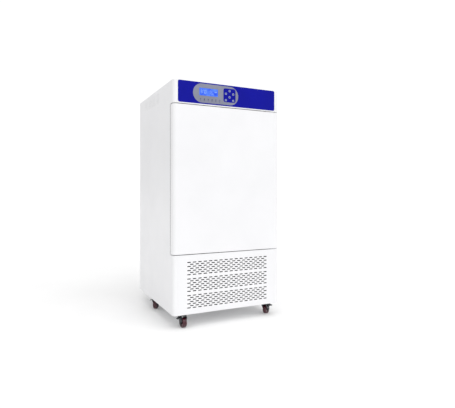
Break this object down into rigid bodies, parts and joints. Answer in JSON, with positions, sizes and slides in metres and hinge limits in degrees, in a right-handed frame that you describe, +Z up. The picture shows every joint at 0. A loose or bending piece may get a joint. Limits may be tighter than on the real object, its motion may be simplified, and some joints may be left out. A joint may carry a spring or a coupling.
{
  "type": "laboratory incubator",
  "caption": "Free-standing cooled laboratory incubator: white cabinet on braked casters, full-width door, glass inner door, wire shelves and a blue control panel.",
  "frame": {"origin": "centre of the footprint on the floor, under the wheels", "axes": "+X to the right seen from the front, +Y to the back, +Z up"},
  "size_m": [0.62, 0.668, 1.262],
  "materials": {
    "white_paint": "satin powder coat",
    "rear_paint": "satin powder coat",
    "insulation": "rigid foam",
    "stainless": "brushed",
    "zinc": "zinc plated",
    "blue_film": "satin film",
    "grey_film": "satin film",
    "display": "backlit",
    "key_plastic": "satin",
    "circuit_board": "solder mask",
    "white_plastic": "moulded",
    "seal_rubber": "matte",
    "glass": "clear",
    "coil_aluminium": "bare",
    "motor_steel": "matte",
    "fan_plastic": "moulded",
    "compressor_black": "gloss enamel",
    "copper_pipe": "bare",
    "inlet_plastic": "moulded",
    "caster_steel": "black zinc",
    "wheel_red": "moulded polyurethane",
    "brake_steel": "black"
  },
  "bodies": {
    "cabinet": {"left_side_panel": "white_paint", "right_side_panel": "white_paint", "top_cover": "white_paint", "rear_panel": "rear_paint", "rear_service_cover": "rear_paint", "base_tray": "rear_paint", "front_grille": "white_paint", "cabinet_foam": "insulation", "chamber_liner": "stainless", "cover_screws": "zinc", "control_fascia": "white_paint", "control_overlay": "blue_film", "display_bezel": "grey_film", "lcd_display": "display", "control_board": "circuit_board", "door_hinges": "zinc", "shelf_uprights": "stainless", "shelf_clips": "stainless", "air_duct_cover": "stainless", "temperature_probe": "stainless", "chamber_lamp": "white_plastic", "evaporator": "coil_aluminium", "heater": "stainless", "fan_motors": "motor_steel", "condenser": "coil_aluminium", "compressor": "compressor_black", "refrigerant_pipes": "copper_pipe", "mains_inlet": "inlet_plastic", "caster_plates": "caster_steel"},
    "door": {"door_skin": "white_paint", "door_end_caps": "white_plastic", "door_inner_panel": "white_plastic", "door_foam": "insulation", "door_gasket": "seal_rubber"},
    "inner_door": {"inner_glass": "glass", "inner_door_shoes": "stainless", "inner_door_knob": "stainless"},
    "circulation_fan": {"circulation_fan": "fan_plastic"},
    "condenser_fan": {"condenser_fan": "fan_plastic"},
    "up_key": {"up_key": "key_plastic"},
    "left_key": {"left_key": "key_plastic"},
    "right_key": {"right_key": "key_plastic"},
    "down_key": {"down_key": "key_plastic"},
    "set_key": {"set_key": "key_plastic"},
    "light_key": {"light_key": "key_plastic"},
    "shelf_1": {"shelf_1": "stainless"},
    "shelf_2": {"shelf_2": "stainless"},
    "shelf_3": {"shelf_3": "stainless"},
    "caster_front_left": {"caster_fork_front_left": "caster_steel"},
    "wheel_front_left": {"caster_wheel_front_left": "wheel_red"},
    "brake_front_left": {"brake_lever_front_left": "brake_steel"},
    "caster_front_right": {"caster_fork_front_right": "caster_steel"},
    "wheel_front_right": {"caster_wheel_front_right": "wheel_red"},
    "brake_front_right": {"brake_lever_front_right": "brake_steel"},
    "caster_rear_left": {"caster_fork_rear_left": "caster_steel"},
    "wheel_rear_left": {"caster_wheel_rear_left": "wheel_red"},
    "brake_rear_left": {"brake_lever_rear_left": "brake_steel"},
    "caster_rear_right": {"caster_fork_rear_right": "caster_steel"},
    "wheel_rear_right": {"caster_wheel_rear_right": "wheel_red"},
    "brake_rear_right": {"brake_lever_rear_right": "brake_steel"}
  },
  "joints": [
    {"name": "door_hinge", "type": "hinge", "parent": "cabinet", "child": "door", "pos_m": [0.296, -0.3114, 0.76], "axis": [0, 0, 1], "range_deg": [0, 120]},
    {"name": "inner_door_hinge", "type": "hinge", "parent": "cabinet", "child": "inner_door", "pos_m": [0.2358, -0.2649, 0.76], "axis": [0, 0, 1], "range_deg": [0, 100]},
    {"name": "circulation_fan_spin", "type": "hinge", "parent": "cabinet", "child": "circulation_fan", "pos_m": [0, 0, 0.83902], "axis": [0, -1, 0], "continuous": true},
    {"name": "condenser_fan_spin", "type": "hinge", "parent": "cabinet", "child": "condenser_fan", "pos_m": [0, 0, 0.182], "axis": [0, -1, 0], "continuous": true},
    {"name": "up_key_press", "type": "slide", "parent": "cabinet", "child": "up_key", "axis": [0, 1, 0], "range_m": [0, 0.0008], "stiffness_N_per_m": 400},
    {"name": "left_key_press", "type": "slide", "parent": "cabinet", "child": "left_key", "axis": [0, 1, 0], "range_m": [0, 0.0008], "stiffness_N_per_m": 400},
    {"name": "right_key_press", "type": "slide", "parent": "cabinet", "child": "right_key", "axis": [0, 1, 0], "range_m": [0, 0.0008], "stiffness_N_per_m": 400},
    {"name": "down_key_press", "type": "slide", "parent": "cabinet", "child": "down_key", "axis": [0, 1, 0], "range_m": [0, 0.0008], "stiffness_N_per_m": 400},
    {"name": "set_key_press", "type": "slide", "parent": "cabinet", "child": "set_key", "axis": [0, 1, 0], "range_m": [0, 0.0008], "stiffness_N_per_m": 400},
    {"name": "light_key_press", "type": "slide", "parent": "cabinet", "child": "light_key", "axis": [0, 1, 0], "range_m": [0, 0.0008], "stiffness_N_per_m": 400},
    {"name": "shelf_1_slide", "type": "slide", "parent": "cabinet", "child": "shelf_1", "axis": [0, -1, 0], "range_m": [0, 0.02]},
    {"name": "shelf_2_slide", "type": "slide", "parent": "cabinet", "child": "shelf_2", "axis": [0, -1, 0], "range_m": [0, 0.02]},
    {"name": "shelf_3_slide", "type": "slide", "parent": "cabinet", "child": "shelf_3", "axis": [0, -1, 0], "range_m": [0, 0.02]},
    {"name": "swivel_front_left", "type": "hinge", "parent": "cabinet", "child": "caster_front_left", "pos_m": [-0.25, -0.2864, 0.06], "axis": [0, 0, 1], "continuous": true},
    {"name": "roll_front_left", "type": "hinge", "parent": "caster_front_left", "child": "wheel_front_left", "pos_m": [-0.24749, -0.30423, 0.025], "axis": [0.9903, 0.1392, 0], "continuous": true},
    {"name": "brake_front_left", "type": "hinge", "parent": "caster_front_left", "child": "brake_front_left", "pos_m": [-0.26591, -0.30681, 0.052], "axis": [0.1392, -0.9903, 0], "range_deg": [0, 9]},
    {"name": "swivel_front_right", "type": "hinge", "parent": "cabinet", "child": "caster_front_right", "pos_m": [0.25, -0.2864, 0.06], "axis": [0, 0, 1], "continuous": true},
    {"name": "roll_front_right", "type": "hinge", "parent": "caster_front_right", "child": "wheel_front_right", "pos_m": [0.26492, -0.27633, 0.025], "axis": [-0.5592, 0.829, 0], "continuous": true},
    {"name": "brake_front_right", "type": "hinge", "parent": "caster_front_right", "child": "brake_front_right", "pos_m": [0.27532, -0.29175, 0.052], "axis": [0.829, 0.5592, 0], "range_deg": [0, 9]},
    {"name": "swivel_rear_left", "type": "hinge", "parent": "cabinet", "child": "caster_rear_left", "pos_m": [-0.264, 0.1056, 0.06], "axis": [0, 0, 1], "continuous": true},
    {"name": "roll_rear_left", "type": "hinge", "parent": "caster_rear_left", "child": "wheel_rear_left", "pos_m": [-0.27483, 0.09123, 0.025], "axis": [0.7986, -0.6018, 0], "continuous": true},
    {"name": "brake_rear_left", "type": "hinge", "parent": "caster_rear_left", "child": "brake_rear_left", "pos_m": [-0.28969, 0.10242, 0.052], "axis": [-0.6018, -0.7986, 0], "range_deg": [0, 9]},
    {"name": "swivel_rear_right", "type": "hinge", "parent": "cabinet", "child": "caster_rear_right", "pos_m": [0.264, 0.1056, 0.06], "axis": [0, 0, 1], "continuous": true},
    {"name": "roll_rear_right", "type": "hinge", "parent": "caster_rear_right", "child": "wheel_rear_right", "pos_m": [0.25317, 0.11997, 0.025], "axis": [-0.7986, -0.6018, 0], "continuous": true},
    {"name": "brake_rear_right", "type": "hinge", "parent": "caster_rear_right", "child": "brake_rear_right", "pos_m": [0.26802, 0.13117, 0.052], "axis": [-0.6018, 0.7986, 0], "range_deg": [0, 9]}
  ],
  "couplings": [
    {"joint": "inner_door_hinge", "follows": "door_hinge", "ratio": 0.8333}
  ]
}
